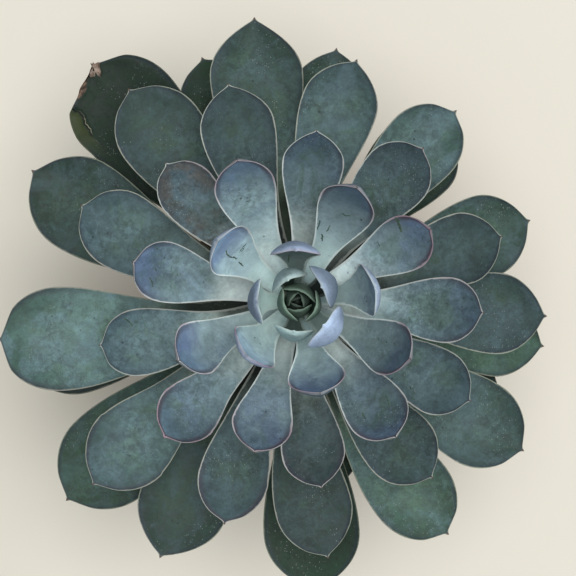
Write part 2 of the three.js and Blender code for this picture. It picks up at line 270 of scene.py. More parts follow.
# The points of a leaf, and what its material needs to know about each. Row goes from 0, at the tip,
# to 1, round the root end, and is over 1 for the point that closes it.
def leafPoints(place, habit, row, turn, seed):
    f = leafForm
    draw = random.Random(seed)
    phase = [draw.uniform(0, 2 * math.pi) for _ in range(6)]
    u = 1 - np.clip(row, 0, 1) ** f["tipCrowding"]
    endOfBody = habit["bodyEnd"]
    isTip, isRoot = row == 0, row > 1.001
    left = leftOf(place["angle"])
    root, tip = place["root"], place["tip"]
    chord = tip - root
    length = np.linalg.norm(chord)
    middle = root + chord / 2 + np.cross(left, chord) * habit["sag"] + left * habit["bend"] * length
    w = u[:, None]
    point = (1 - w) ** 2 * root + 2 * w * (1 - w) * middle + w ** 2 * tip
    along = unit(2 * (1 - w) * (middle - root) + 2 * w * (tip - middle))
    flat = unit(left - along * (along @ left)[:, None])
    roll = (habit["roll"] * u)[:, None]
    side = flat * np.cos(roll) + np.cross(along, flat) * np.sin(roll)
    up = np.cross(along, side)

    outline = outlineAt(u, habit["taper"], endOfBody, habit["waist"])
    mucro = f["mucroHalf"] * np.clip((1 - u) / (1 - endOfBody), 0, 2.2) ** 1.1
    half = ((place["width"] / 2 * outline) ** 3 + mucro ** 3) ** (1 / 3)
    across = np.cos(turn)
    onBack = np.sin(turn) > 1e-6
    depth = np.minimum(habit["thickness"] * thicknessAt(u), 1.2 * half)
    lift = habit["cup"] * outline ** 1.5 * across ** 2
    back = np.where(onBack, depth * (1 - across ** 2) ** 0.7, 0)

    edge = half * (1 - np.abs(across))
    body = smoothStep((endOfBody - u) / f["tipFade"]) * smoothStep(u / f["rootFade"])
    lip = f["lipHeight"] * np.exp(-(edge / f["lipWidth"]) ** 2)
    groove = f["grooveDepth"] * np.exp(-((edge - f["grooveAt"]) / f["grooveWidth"]) ** 2)
    relief = np.where(onBack, 0, lip * np.abs(across) - groove * smoothStep(edge / 0.8)) * body
    size = place["width"] / 30
    swell = np.sin(9 * u + phase[0] + 1.5 * across) * np.sin(5 * across + phase[1] + 3 * u)
    relief = relief + f["dimple"] * size * swell * body * (1 - across ** 2)
    waving = np.sin(f["waveTurn"] * u + phase[2] + np.sign(across) * phase[3])
    wave = f["edgeWave"] * size * body * across ** 2 * waving

    wound = np.zeros(len(u))
    slit = np.full(len(u), 9.0)      # distance from the split, in mm
    if habit["torn"]:
        t = tornForm
        turning = smoothStep((u - t["slitTurn"]) / (t["slitTo"] - t["slitTurn"]))
        path = t["slitAcross"] + (1.02 - t["slitAcross"]) * turning
        beyond = np.maximum(0, np.maximum(t["slitFrom"] - u, u - t["slitTo"])) * length
        path = path + 0.012 * np.sin(t["ragTurn"] * u) + 0.008 * np.sin(370 * u + 1)
        slit = np.hypot((across - path) * half, beyond)
        relief = relief - np.where(onBack, 0, t["slitDepth"] * np.exp(-(slit / t["slitWidth"]) ** 2))
        besideSlit = smoothStep((u - t["slitFrom"]) / 0.03) * smoothStep((t["slitTo"] - u) / 0.02)
        relief = relief + t["flapRise"] * smoothStep((across - path) / 0.12) * besideSlit
        spread = smoothStep((u - t["slitFrom"] + 0.07) / 0.09) * smoothStep((t["slitTo"] - u) / 0.02)
        half = half + np.where(across > 0, t["flapSpread"] * spread * across ** 4, 0)
        bite = np.exp(-((u - t["biteAt"]) / t["biteLength"]) ** 2)
        bite = bite * (0.85 + 0.15 * np.sin(t["ragTurn"] * u))
        half = half - np.where(across > 0, np.minimum(t["biteDepth"] * bite, 0.75 * half), 0)
        withered = smoothStep((u - t["witheredFrom"]) / 0.015) * smoothStep((across + 0.3) / 0.4)
        wound = np.maximum(bite * smoothStep((across - 0.4) / 0.4), withered)
        relief = relief + 0.9 * wound * (0.5 + 0.5 * np.sin(9 * across + 70 * u))
        slit = np.where(across > path, -slit, slit)

    point = point + side * (across * half)[:, None] + up * (lift - back + relief + wave)[:, None]
    point[isTip] = tip
    point[isRoot] = root - up[isRoot] * (depth[isRoot] / 2)[:, None]
    facts = {
        "leafAlong": u,
        "leafAcross": across,
        "leafEdge": np.where(isTip | isRoot, 0, edge),
        "leafUpper": np.where(onBack, 0.0, 1.0),
        "leafWound": wound,
        "leafSlit": np.clip(slit, -9, 9),
    }
    return point * mm, facts


def storeFact(mesh, name, values):
    layer = mesh.attributes.new(name, "FLOAT", "POINT")
    layer.data.foreach_set("value", np.asarray(values, np.float32))


# Facts that are the same all over a piece
def storeSteady(mesh, facts):
    for name, value in facts.items():
        storeFact(mesh, name, np.full(len(mesh.vertices), value))


def growLeaf(name, place, habit, age, seed, blank):
    blankMesh, row, turn = blank
    mesh = blankMesh.copy()
    mesh.name = name
    points, facts = leafPoints(place, habit, row, turn, seed)
    mesh.vertices.foreach_set("co", points.astype(np.float32).ravel())
    # the tone carries painted light and painted shade: on the face, towards the root and on the back
    lower = smoothStep((0.7 - facts["leafAlong"]) / 0.45)
    faceToneAndShade = habit["toneAndShade"] * (1 + (habit["footTone"] - 1) * lower)
    facts["leafToneAndShade"] = np.where(facts["leafUpper"] > 0, faceToneAndShade, habit["backLightAndShade"])
    for label, values in facts.items():
        storeFact(mesh, label, values)
    storeSteady(mesh, {"leafAge": age, "leafSeed": (seed * 0.6180339) % 1,
                       "leafBrown": habit["brown"], "leafBlush": habit["blush"]})
    mesh.shade_smooth()
    mesh.update()
    return mesh


# Helpers for material nodes
def newMaterial(name):
    material = bpy.data.materials.new(name)
    material.use_nodes = True
    tree = material.node_tree
    tree.nodes.clear()
    output = tree.nodes.new("ShaderNodeOutputMaterial")
    shader = tree.nodes.new("ShaderNodeBsdfPrincipled")
    tree.links.new(shader.outputs[0], output.inputs[0])
    return material, tree, shader


def plug(tree, value, socket):
    if isinstance(value, bpy.types.NodeSocket):
        tree.links.new(value, socket)
    else:
        socket.default_value = value


def rgb(red, green, blue):
    def linear(c):
        c /= 255
        return c / 12.92 if c <= 0.04045 else ((c + 0.055) / 1.055) ** 2.4
    return (linear(red), linear(green), linear(blue), 1)


def calc(tree, operation, a, b=0.0, clamp=False):
    n = tree.nodes.new("ShaderNodeMath")
    n.operation = operation
    n.use_clamp = clamp
    plug(tree, a, n.inputs[0])
    plug(tree, b, n.inputs[1])
    return n.outputs[0]


def times(tree, *values):
    total = values[0]
    for value in values[1:]:
        total = calc(tree, "MULTIPLY", total, value)
    return total


# A pattern as a swing about its middle grey
def swing(tree, pattern, amount):
    return times(tree, calc(tree, "SUBTRACT", pattern, 0.5), amount)


def between(tree, value, low, high, toLow=0.0, toHigh=1.0):
    n = tree.nodes.new("ShaderNodeMapRange")
    n.interpolation_type = "SMOOTHSTEP"
    plug(tree, value, n.inputs["Value"])
    limits = {"From Min": low, "From Max": high, "To Min": toLow, "To Max": toHigh}
    for socket, number in limits.items():
        plug(tree, number, n.inputs[socket])
    return n.outputs[0]


def blendColor(tree, amount, a, b, kind="MIX"):
    n = tree.nodes.new("ShaderNodeMix")
    n.data_type = "RGBA"
    n.blend_type = kind
    n.clamp_factor = True
    plug(tree, amount, n.inputs[0])
    plug(tree, a, n.inputs[6])
    plug(tree, b, n.inputs[7])
    return n.outputs[2]


def blendAmount(tree, amount, a, b):
    n = tree.nodes.new("ShaderNodeMix")
    plug(tree, amount, n.inputs[0])
    plug(tree, a, n.inputs[2])
    plug(tree, b, n.inputs[3])
    return n.outputs[0]


def greyOf(tree, value):
    n = tree.nodes.new("ShaderNodeCombineColor")
    for socket in n.inputs[:3]:
        plug(tree, value, socket)
    return n.outputs[0]


def colorBand(tree, value, stops):
    n = tree.nodes.new("ShaderNodeValToRGB")
    band = n.color_ramp
    while len(band.elements) < len(stops):
        band.elements.new(0.5)
    for element, (at, color) in zip(band.elements, stops):
        element.position = at
        element.color = color
    plug(tree, value, n.inputs[0])
    return n.outputs[0]


def fact(tree, name):
    n = tree.nodes.new("ShaderNodeAttribute")
    n.attribute_name = name
    return n.outputs["Fac"]


def grain(tree, where, scale, detail=3.0, rough=0.5, twist=0.0):
    n = tree.nodes.new("ShaderNodeTexNoise")
    plug(tree, where, n.inputs["Vector"])
    n.inputs["Scale"].default_value = scale
    n.inputs["Detail"].default_value = detail
    n.inputs["Roughness"].default_value = rough
    n.inputs["Distortion"].default_value = twist
    return n.outputs["Fac"]


def spots(tree, where, scale, randomness=1.0):
    n = tree.nodes.new("ShaderNodeTexVoronoi")
    plug(tree, where, n.inputs["Vector"])
    n.inputs["Scale"].default_value = scale
    n.inputs["Randomness"].default_value = randomness
    return n


def objectPlace(tree, shift=None):
    n = tree.nodes.new("ShaderNodeTexCoord")
    if shift is None:
        return n.outputs["Object"]
    spread = tree.nodes.new("ShaderNodeCombineXYZ")
    for axis, step in enumerate((3.1, 7.7, 1.9)):
        plug(tree, times(tree, shift, step), spread.inputs[axis])
    total = tree.nodes.new("ShaderNodeVectorMath")
    plug(tree, n.outputs["Object"], total.inputs[0])
    plug(tree, spread.outputs[0], total.inputs[1])
    return total.outputs[0]


def bumpFrom(tree, height, shader, strength, distance):
    n = tree.nodes.new("ShaderNodeBump")
    n.inputs["Strength"].default_value = strength
    n.inputs["Distance"].default_value = distance
    plug(tree, height, n.inputs["Height"])
    plug(tree, n.outputs[0], shader.inputs["Normal"])


# Colours of the leaves by age, from the bud at 0 to the oldest leaf at 1: at three places along
# the blade, on its back and on its rim
leafLook = {
    "root": [
        (0.0, rgb(56, 76, 58)), (0.017, rgb(150, 176, 160)), (0.05, rgb(196, 220, 214)),
        (0.2, rgb(210, 236, 232)), (0.3, rgb(224, 240, 236)), (0.42, rgb(206, 224, 216)),
        (0.6, rgb(182, 202, 188)), (0.75, rgb(158, 182, 160)), (0.85, rgb(112, 136, 108)),
        (1.0, rgb(62, 86, 60)),
    ],
    "middle": [
        (0.0, rgb(80, 104, 90)), (0.017, rgb(150, 176, 166)), (0.05, rgb(186, 212, 210)),
        (0.17, rgb(172, 198, 204)), (0.3, rgb(122, 145, 151)), (0.5, rgb(88, 110, 113)),
        (0.75, rgb(80, 103, 99)), (0.9, rgb(60, 82, 68)), (1.0, rgb(42, 58, 46)),
    ],
    "tip": [
        (0.0, rgb(100, 124, 112)), (0.05, rgb(160, 186, 192)), (0.165, rgb(124, 152, 180)),
        (0.2, rgb(96, 120, 143)), (0.28, rgb(78, 98, 114)), (0.45, rgb(60, 80, 86)),
        (0.7, rgb(50, 71, 65)), (0.85, rgb(43, 64, 52)), (1.0, rgb(30, 50, 34)),
    ],
    "back": [
        (0.0, rgb(104, 128, 114)), (0.018, rgb(132, 150, 152)), (0.037, rgb(146, 172, 170)),
        (0.05, rgb(160, 180, 204)), (0.12, rgb(158, 176, 204)), (0.155, rgb(134, 150, 172)),
        (0.18, rgb(66, 82, 94)), (0.3, rgb(66, 84, 86)), (0.5, rgb(72, 92, 84)), (1.0, rgb(54, 74, 56)),
    ],
    "rim": [
        (0.0, rgb(160, 188, 168)), (0.03, rgb(216, 234, 226)), (0.2, rgb(228, 240, 236)),
        (0.36, rgb(206, 212, 208)), (0.55, rgb(172, 176, 164)), (0.8, rgb(140, 146, 130)),
        (1.0, rgb(112, 120, 104)),
    ],
    "blush": rgb(158, 124, 142),
    "innerBand": rgb(58, 66, 76),
    "stain": rgb(72, 62, 72),
    "flesh": rgb(75, 98, 80),
    "bare": rgb(60, 94, 74),
    "violet": rgb(84, 96, 136),
    "haze": rgb(86, 107, 116),
    "foot": rgb(22, 31, 22),
    "brown": rgb(84, 82, 78),
    "rubbed": rgb(50, 72, 66),
    "scar": rgb(42, 54, 50),
    "dust": rgb(198, 208, 206),
    "mucro": rgb(86, 72, 68),
    "dead": rgb(122, 100, 86),
    "deadEdge": rgb(48, 40, 32),
    "splitRim": rgb(150, 148, 126),
    "splitDark": rgb(20, 22, 16),
    "flap": rgb(66, 74, 44),
    "roughness": 0.6,
    "shine": 0.22,
    "paleReach": 0.13,       # how much further up its middle an older leaf is pale
    # cells in a metre, size in a cell, scale of the patches that have them, strength
    "marks": {"scar": (420, 0.22, 110, 0.75), "dust": (1500, 0.3, 60, 0.36)},
}


def leafMaterial():
    material, tree, shader = newMaterial("leafSkin")
    look = leafLook
    age, along, edge = fact(tree, "leafAge"), fact(tree, "leafAlong"), fact(tree, "leafEdge")
    upper, toneAndShade, blush = fact(tree, "leafUpper"), fact(tree, "leafToneAndShade"), fact(tree, "leafBlush")
    fromMidrib = calc(tree, "ABSOLUTE", fact(tree, "leafAcross"))
    where = objectPlace(tree, fact(tree, "leafSeed"))
    clouds = grain(tree, where, 85, 4, 0.6, 0.5)
    blotches = grain(tree, where, 260, 5, 0.68, 0.6)
    powder = grain(tree, where, 1100, 4, 0.7)

    def byAge(*limits):
        return between(tree, age, *limits)

    def byPlace(*limits):
        return between(tree, along, *limits)

    def byEdge(*limits):
        return between(tree, edge, *limits)

    # pale at the root, darker and bluer to the tip
    upMiddle = times(tree, between(tree, fromMidrib, 0.8, 0.1), byAge(0.3, 0.6, 0.0, look["paleReach"]))
    rise = calc(tree, "SUBTRACT", calc(tree, "ADD", along, swing(tree, clouds, 0.35)), upMiddle)
    color = blendColor(tree, between(tree, rise, 0.12, 0.55), colorBand(tree, age, look["root"]),
                       colorBand(tree, age, look["middle"]))
    color = blendColor(tree, between(tree, rise, 0.55, 0.95), color, colorBand(tree, age, look["tip"]))

    # green flesh shows down the middle where the bloom has rubbed off, and violet at the shoulders
    worn = times(tree, between(tree, grain(tree, where, 75, 6, 0.7, 1.0), 0.47, 0.58),
                 between(tree, fromMidrib, 0.9, 0.3), byPlace(0.98, 0.75), byPlace(0.2, 0.55),
                 byAge(0.12, 0.42, 0.1, 0.58))
    color = blendColor(tree, worn, color, look["flesh"])
    violet = times(tree, between(tree, grain(tree, where, 70, 4, 0.6, 0.7), 0.45, 0.62),
                   byPlace(0.35, 0.8, 0.3, 1.0), byAge(0.48, 0.2, 0.04, 0.45))
    color = blendColor(tree, violet, color, look["violet"])

    # a leaf with less bloom is greener, and so is a face darkened as painted shade; an old one is hazy,
    # and a few are bare or brown
    color = blendColor(tree, between(tree, toneAndShade, 0.9, 0.3, 0.0, 0.45), color, look["flesh"])
    haze = times(tree, between(tree, grain(tree, where, 62, 5, 0.68, 0.9), 0.47, 0.59),
                 byAge(0.3, 0.5, 0.0, 0.38), byAge(0.95, 0.75))
    color = blendColor(tree, haze, color, look["haze"])
    bare = times(tree, between(tree, toneAndShade, 0.6, 0.4), byAge(0.5, 0.8, 0.0, 0.75))
    color = blendColor(tree, bare, color, look["bare"])
    brown = times(tree, between(tree, grain(tree, where, 130, 5, 0.7), 0.42, 0.56, 0.15, 1.0),
                  fact(tree, "leafBrown"), byEdge(8.0, 3.0, 0.35, 1.0))
    color = blendColor(tree, brown, color, look["brown"])

    # painted shade: the foot of an older leaf lies under others, and is painted dark where shade falls
    # there
    footEnd = calc(tree, "MINIMUM", times(tree, age, 0.5), 0.28)
    pastFoot = calc(tree, "SUBTRACT", along, footEnd)
    foot = times(tree, between(tree, pastFoot, 0.0, 0.18, 0.9, 0.0), byAge(0.28, 0.48))
    color = blendColor(tree, foot, color, look["foot"])

    # the waxy bloom lies in clouds, blotches and fine powder, more evenly on a young leaf
    uneven = calc(tree, "ADD", swing(tree, clouds, 1.1), swing(tree, blotches, 1.3))
    uneven = calc(tree, "ADD", uneven, swing(tree, powder, 0.9))
    patchy = times(tree, byAge(0.12, 0.42, 0.4, 1.0), byPlace(0.15, 0.6, 0.5, 1.0))
    mottle = between(tree, grain(tree, where, 340, 6, 0.75, 0.8), 0.43, 0.57, 0.77, 1.11)
    mottled = times(tree, patchy, between(tree, grain(tree, where, 55, 3, 0.6), 0.42, 0.62, 0.25, 1.0))
    # the leaf's tone, with its painted shade and painted light, darkens or lightens it all over
    shade = times(tree, calc(tree, "ADD", times(tree, uneven, patchy), 1.0), toneAndShade,
                  blendAmount(tree, mottled, 1.0, mottle))
    color = blendColor(tree, 1.0, color, greyOf(tree, shade), "MULTIPLY")
    rubbed = times(tree, between(tree, grain(tree, where, 230, 8, 0.8, 1.2), 0.56, 0.64),
                   between(tree, grain(tree, where, 52, 2), 0.46, 0.6), byPlace(0.25, 0.6, 0.0, 0.6))
    color = blendColor(tree, rubbed, color, look["rubbed"])

    # small dark scars and specks of pale dust, in some cells of a pattern of cells
    for name, (scale, size, field, strength) in look["marks"].items():
        cells = spots(tree, where, scale)
        pick = tree.nodes.new("ShaderNodeSeparateColor")
        plug(tree, cells.outputs["Color"], pick.inputs[0])
        here = times(tree, between(tree, cells.outputs["Distance"], size, size / 2),
                     between(tree, pick.outputs[0], 0.6, 0.9),
                     between(tree, grain(tree, where, field, 2), 0.48, 0.62), strength)
        color = blendColor(tree, here, color, look[name])

    # the back of a young leaf is a plain pale bloom
    # the back's painted light and painted shade come in through its tone
    backShade = times(tree, between(tree, uneven, -0.5, 0.5, 0.74, 1.18), toneAndShade,
                      byEdge(2.4, 0.3, 0.94, 1.14))
    back = blendColor(tree, 1.0, colorBand(tree, age, look["back"]), greyOf(tree, backShade), "MULTIPLY")
    color = blendColor(tree, between(tree, upper, 0.9, 0.1), color, back)

    # a darker band inside the thin pale margin, which is flushed pink in places
    band = times(tree, byEdge(2.6, 0.9), byPlace(0.5, 0.92, 0.05, 0.45), upper)
    color = blendColor(tree, band, color, look["innerBand"])
    stain = times(tree, blush, upper, byPlace(0.66, 0.88), byEdge(2.8, 1.0),
                  between(tree, blotches, 0.38, 0.56, 0.35, 0.95))
    color = blendColor(tree, stain, color, look["stain"])
    flush = times(tree, between(tree, grain(tree, where, 38, 2), 0.5, 0.66), byAge(0.02, 0.12, 0.2, 0.6))
    tipFlush = times(tree, blush, byPlace(0.55, 0.8), between(tree, clouds, 0.35, 0.55, 0.5, 1.0))
    flush = times(tree, calc(tree, "MAXIMUM", flush, tipFlush), byPlace(0.5, 0.85),
                  byAge(0.6, 0.3, 0.35, 1.0))
    rim = blendColor(tree, flush, colorBand(tree, age, look["rim"]), look["blush"])
    rimWidth = times(tree, byAge(0.05, 0.4, 0.4, 0.44), between(tree, blotches, 0.35, 0.65, 0.75, 1.25),
                     byPlace(0.1, 0.55, 2.4, 1.0), between(tree, flush, 0.0, 1.0, 1.0, 1.7))
    margin = times(tree, between(tree, calc(tree, "DIVIDE", edge, rimWidth), 1.15, 0.5),
                   byPlace(0.05, 0.5, 0.5, 0.9), between(tree, toneAndShade, 0.1, 0.7, 0.35, 1.0),
                   between(tree, upper, 0.0, 1.0, 0.3, 1.0))
    color = blendColor(tree, margin, color, rim)
    hardTip = times(tree, byPlace(0.986, 0.994), byAge(0.15, 0.22))
    color = blendColor(tree, hardTip, color, look["mucro"])

    # dead tissue where the margin is split and bitten
    split = calc(tree, "ADD", fact(tree, "leafSlit"), swing(tree, blotches, 0.9))
    flap = times(tree, between(tree, split, 0.0, -1.0), byPlace(0.7, 0.86), 0.75)
    color = blendColor(tree, flap, color, look["flap"])
    paleSide = times(tree, between(tree, split, 0.0, 0.3), between(tree, split, 0.6, 0.4),
                     between(tree, clouds, 0.45, 0.6))
    color = blendColor(tree, paleSide, color, look["splitRim"])
    inSplit = between(tree, calc(tree, "ABSOLUTE", split), 0.35, 0.15)
    color = blendColor(tree, inSplit, color, look["splitDark"])
    wound = calc(tree, "ADD", fact(tree, "leafWound"), times(tree, blotches, 0.4))
    deadSkin = blendColor(tree, between(tree, blotches, 0.42, 0.58), look["deadEdge"], look["dead"])
    color = blendColor(tree, between(tree, wound, 0.5, 0.8), color, deadSkin)

    plug(tree, color, shader.inputs["Base Color"])
    rough = look["roughness"]
    plug(tree, between(tree, uneven, -0.4, 0.4, rough - 0.12, rough + 0.12), shader.inputs["Roughness"])
    shader.inputs["Specular IOR Level"].default_value = look["shine"]
    height = calc(tree, "ADD", times(tree, clouds, 0.7), times(tree, powder, 0.3))
    bumpFrom(tree, height, shader, 0.35, 0.0006)
    return material


clayLook = {
    "body": rgb(176, 106, 76),
    "burnt": rgb(140, 78, 54),
    "lime": rgb(212, 192, 172),
    "roughness": 0.88,
}


def clayMaterial():
    material, tree, shader = newMaterial("firedClay")
    look = clayLook
    where = objectPlace(tree)
    clouds = grain(tree, where, 45, 5, 0.6, 0.5)
    fine = grain(tree, where, 900, 3, 0.6)
    color = blendColor(tree, between(tree, clouds, 0.35, 0.65), look["body"], look["burnt"])
    dusty = times(tree, between(tree, fine, 0.45, 0.75), 0.3)
    color = blendColor(tree, dusty, color, look["lime"])
    height = tree.nodes.new("ShaderNodeSeparateXYZ")
    plug(tree, where, height.inputs[0])
    salty = times(tree, between(tree, grain(tree, where, 70, 6, 0.7, 0.8), 0.5, 0.7),
                  between(tree, height.outputs[2], 0.035, 0.0, 0.12, 0.8))
    color = blendColor(tree, salty, color, look["lime"])
    plug(tree, color, shader.inputs["Base Color"])
    shader.inputs["Roughness"].default_value = look["roughness"]
    bumpFrom(tree, calc(tree, "ADD", fine, clouds), shader, 0.3, 0.0005)
    return material


soilLook = {
    "dark": rgb(46, 36, 29),
    "light": rgb(96, 76, 58),
    "gritPale": rgb(206, 200, 188),
    "gritBrown": rgb(110, 84, 60),
}


def crumblyMaterial(name, dark, light, scale, bump=0.001):
    material, tree, shader = newMaterial(name)
    where = objectPlace(tree)
    crumbs = grain(tree, where, scale, 6, 0.7)
    color = blendColor(tree, between(tree, crumbs, 0.35, 0.7), dark, light)
    plug(tree, color, shader.inputs["Base Color"])
    shader.inputs["Roughness"].default_value = 0.95
    bumpFrom(tree, crumbs, shader, 0.8, bump)
    return material


barkLook = {
    "skin": rgb(124, 118, 92),
    "cork": rgb(150, 130, 104),
    "scar": rgb(84, 70, 54),
}


def barkMaterial():
    material, tree, shader = newMaterial("stemSkin")
    look = barkLook
    where = objectPlace(tree)
    cork = grain(tree, where, 160, 5, 0.65, 0.6)
    color = blendColor(tree, between(tree, cork, 0.4, 0.62), look["skin"], look["cork"])
    color = blendColor(tree, fact(tree, "stemScar"), color, look["scar"])
    plug(tree, color, shader.inputs["Base Color"])
    shader.inputs["Roughness"].default_value = 0.8
    bumpFrom(tree, cork, shader, 0.5, 0.0006)
    return material


def addPiece(name, mesh, material, slot, *stoodFor):
    piece = newObject(name, mesh)
    mesh.materials.clear()
    mesh.materials.append(material)
    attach(piece, "root")
    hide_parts(*stoodFor)
    return piece


slotOf = {row["node"]: row["material_slot"] for row in frame["record"]["subparts"]}
leafSkin = leafMaterial()
blank = leafBlank(leafForm["steps"])
tornBlank = leafBlank(leafForm["tornSteps"])

# Leaves: one piece a leaf, grown over its own node
for rank in range(1, oldestLeaf + 1):
    name = leafName(rank)
    place = leafPlace(rank)
    habit = leafHabit(rank, place["width"])
    rounder = tornBlank if habit["torn"] else blank
    mesh = growLeaf(f"leafBlade_{rank:02d}", place, habit, rank / oldestLeaf, rank, rounder)
    addPiece(mesh.name, mesh, leafSkin, slotOf[name], name)
print("leaves grown:", oldestLeaf)

# Old scars on the upper faces, each a stroke through places along and across its leaf
scarForm = {
    "width": 0.55,
    "wide": {16: 1.1, 9: 0.65},      # the first stroke of a leaf
    "height": 0.07,
    "spacing": 0.28,
    "dark": rgb(48, 68, 62),
    "pale": rgb(88, 112, 92),
    "strokes": {
        5: [[(0.287, 0.41), (0.293, -0.03), (0.299, -0.47)]],
        6: [[(0.47, 0.39), (0.4, 0.5), (0.322, 0.65)]],
        9: [[(0.747, 0.1), (0.69, 0.2), (0.626, 0.2), (0.58, 0.12), (0.552, 0.15)],
            [(0.501, 0.2), (0.435, 0.28)],
            [(0.587, -0.64), (0.591, -0.46), (0.58, -0.3), (0.571, -0.21)],
            [(0.575, -0.5), (0.56, -0.3)]],
        11: [[(0.505, 0.82), (0.466, 0.84), (0.431, 0.9)], [(0.497, 0.28), (0.443, 0.34)],
             [(0.653, 0.05), (0.645, -0.11), (0.669, -0.26)], [(0.4, 0.54), (0.37, 0.44), (0.35, 0.41)],
             [(0.39, 0.44), (0.365, 0.5)]],
        13: [[(0.595, 0.16), (0.606, 0.15)], [(0.68, 0.18), (0.692, 0.16)],
             [(0.766, 0.21), (0.778, 0.2)]],
        16: [[(0.812, 0.93), (0.808, 0.8), (0.797, 0.66), (0.778, 0.42)],
             [(0.803, 0.86), (0.792, 0.62)], [(0.575, 0.54), (0.571, 0.39)]],
        17: [[(0.844, 0.34), (0.824, 0.44), (0.813, 0.56)], [(0.875, -0.77), (0.863, -0.69)],
             [(0.793, -0.46), (0.785, -0.44)], [(0.824, 0.0), (0.813, 0.05)]],
        18: [[(0.715, 0.52), (0.754, 0.47), (0.789, 0.42)], [(0.719, -0.42), (0.758, -0.44)]],
        25: [[(0.848, -0.78), (0.824, -0.64), (0.809, -0.51)]],
        26: [[(0.661, -0.56), (0.673, -0.59)], [(0.696, -0.64), (0.708, -0.67)],
             [(0.704, -0.82), (0.719, -0.8)]],
        39: [[(0.676, -0.52), (0.684, -0.54)]],
    },
}


# Where a place on a leaf's upper face is, and how the leaf lies there
def onLeaf(rank, along, across):
    place = leafPlace(rank)
    habit = leafHabit(rank, place["width"])
    along = np.array([along, along + 0.004, along])
    across = np.array([across, across, across - 0.04])
    row = (1 - along) ** (1 / leafForm["tipCrowding"])
    (here, onward, beside), _ = leafPoints(place, habit, row, -np.arccos(across), rank)
    y = unit(onward - here)
    x = beside - here
    x = unit(x - y * (x @ y))
    lie = Matrix((x, y, np.cross(x, y))).transposed().to_4x4()
    return Matrix.Translation(here) @ lie


def buildScars(rank, strokes):
    f = scarForm
    draw = random.Random(rank)
    bm = bmesh.new()
    for stroke in strokes:
        width = f["wide"].get(rank, f["width"]) if stroke is strokes[0] else f["width"]
        for start, end in zip(stroke, stroke[1:]):
            ends = [onLeaf(rank, *start).translation, onLeaf(rank, *end).translation]
            steps = max(2, int((ends[1] - ends[0]).length / mm / f["spacing"]))
            for i in range(steps + 1):
                share = i / steps
                along = start[0] + (end[0] - start[0]) * share + draw.uniform(-0.002, 0.002)
                across = start[1] + (end[1] - start[1]) * share + draw.uniform(-0.015, 0.015)
                size = width / 2 * draw.uniform(0.55, 1.1) * mm
                lie = onLeaf(rank, along, across) @ Matrix.Diagonal((size, size, f["height"] * mm, 1))
                bmesh.ops.create_icosphere(bm, subdivisions=2, radius=1, matrix=lie)
    return meshFrom(bm, f"leafScars_{rank:02d}", smooth=True)


scarSkin = crumblyMaterial("scarSkin", scarForm["dark"], scarForm["pale"], 700, 0.0002)
for rank, strokes in scarForm["strokes"].items():
    name = leafName(rank)
    addPiece(f"leafScars_{rank:02d}", buildScars(rank, strokes), scarSkin, slotOf[name], name)

# The withered tip of the torn leaf, dried and rolled up
stubForm = {
    "size": (7.2, 4.8),
    "steps": (18, 12),
    "rollDegrees": 210,
    "skin": 0.35,
    "along": 0.972,
    "across": 0.0,
    "lift": 0.2,
    "turnDegrees": -42,
    "dark": rgb(96, 76, 64),
    "pale": rgb(196, 178, 164),
}


def buildStub():
    f = stubForm
    turn = math.radians(f["rollDegrees"])
    bm = bmesh.new()
    bmesh.ops.create_grid(bm, x_segments=f["steps"][0], y_segments=f["steps"][1], size=0.5)
    for v in bm.verts:
        x, y, _ = v.co
        radius = f["size"][0] / turn * (0.8 - 0.5 * y) * (1 + 0.12 * math.sin(11 * y + 5 * x))
        rolled = turn * x + 0.5 * y
        v.co = Vector((radius * math.sin(rolled), f["size"][1] * y + 0.3 * math.sin(9 * x),
                       radius * (1 - math.cos(rolled)) + 0.15 * math.sin(14 * x + 8 * y))) * mm
    bmesh.ops.solidify(bm, geom=bm.faces[:], thickness=f["skin"] * mm)
    lie = onLeaf(tornForm["leaf"], f["along"], f["across"]) @ Matrix.Translation((0, 0, f["lift"] * mm))
    lie = lie @ Matrix.Rotation(math.radians(f["turnDegrees"]), 4, "Z")
    bmesh.ops.transform(bm, matrix=lie, verts=bm.verts)
    return meshFrom(bm, "leafStub", smooth=True)


tornName = leafName(tornForm["leaf"])
witheredSkin = crumblyMaterial("witheredSkin", stubForm["dark"], stubForm["pale"], 420, 0.0004)
addPiece("leafStub", buildStub(), witheredSkin, slotOf[tornName], tornName)
print("scars and withered tip added")

# Bud: the same leaf, small, for each leaflet round the growing point
budForm = {
    "rootRadius": 1.1,
    "sag": 0.3,
    "cupShare": 0.2,
    "taper": 0.6,
    "thickness": 1.6,
    "bodyEndAlong": 0.985,
    "seat": 1,               # of the leaflets, above the foot of the bud
    "coreRadius": 2.4,
    "coreHeight": 5,
    "coreSteps": (24, 16),
    # painted shade: each leaflet of the bud is darker than the one outside it, by this share
    "leafletShade": 0.13,       # of each leaflet below the one outside it
    "firstSeed": 101,
    # degrees, reach of the tip, greatest width, rise above the root
    "leaflets": [(340, 5.8, 10.5, 17), (204, 3.9, 11.5, 16), (67, 3.2, 11.5, 15), (277, 2.5, 9, 13),
                 (140, 1.6, 6, 11), (15, 1.4, 5, 12.3), (250, 0.9, 4, 11), (110, 0.5, 3.2, 9.8)],
}


